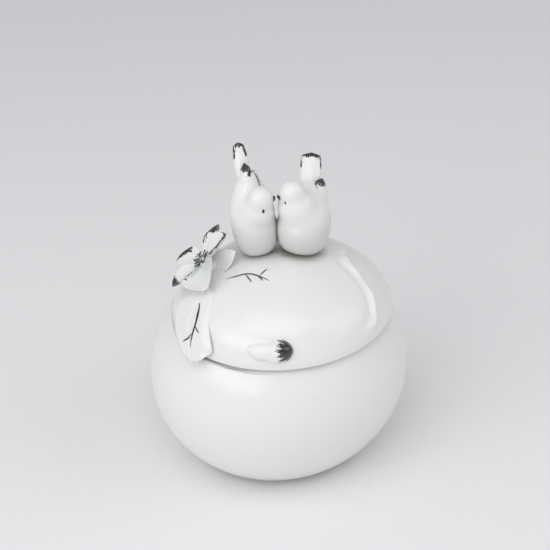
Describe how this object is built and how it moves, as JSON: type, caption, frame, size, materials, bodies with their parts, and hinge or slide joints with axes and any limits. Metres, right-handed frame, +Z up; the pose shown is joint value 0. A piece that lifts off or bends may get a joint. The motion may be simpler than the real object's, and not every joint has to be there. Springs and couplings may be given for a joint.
{
  "type": "vanity trinket box",
  "caption": "Round glazed porcelain pot with a domed lift-off lid that carries a pair of small birds, a flower, leaves and a bud.",
  "frame": {"origin": "centre of the pot on the surface it stands on", "axes": "+Z up along the pot's axis, -Y towards the front, +X to the right as seen from the front"},
  "size_m": [0.11, 0.11, 0.1345],
  "materials": {
    "porcelain_glaze": "gloss",
    "bare_porcelain": "matt, unglazed",
    "leaf_glaze": "gloss, with fine dark brush lines",
    "petal_glaze": "gloss, pale green-blue in the hollows, black at the tips",
    "bird_glaze": "gloss, black brushwork at the tips",
    "ink_glaze": "gloss black"
  },
  "bodies": {
    "pot": {"pot_bowl": "porcelain_glaze", "foot_ring": "bare_porcelain"},
    "lid": {"lid_shell": "porcelain_glaze", "lid_locating_ring": "bare_porcelain", "broad_leaf": "leaf_glaze", "draped_leaf": "leaf_glaze", "back_leaf": "leaf_glaze", "flower_calyx": "leaf_glaze", "flower_heart": "petal_glaze", "stamens": "ink_glaze", "petal_upper": "petal_glaze", "petal_upper_left": "petal_glaze", "petal_lower_left": "petal_glaze", "petal_front": "petal_glaze", "petal_right": "petal_glaze", "bud": "leaf_glaze", "bud_wrap_petal": "leaf_glaze", "left_bird_body": "bird_glaze", "left_bird_beak": "ink_glaze", "left_bird_tail": "bird_glaze", "left_bird_outer_wing": "bird_glaze", "left_bird_inner_wing": "bird_glaze", "right_bird_body": "bird_glaze", "right_bird_beak": "ink_glaze", "right_bird_tail": "bird_glaze", "right_bird_outer_wing": "bird_glaze", "right_bird_inner_wing": "bird_glaze"}
  },
  "joints": [
    {"name": "lid_lift", "type": "slide", "parent": "pot", "child": "lid", "axis": [0, 0, 1], "range_m": [0, 0.05]}
  ]
}
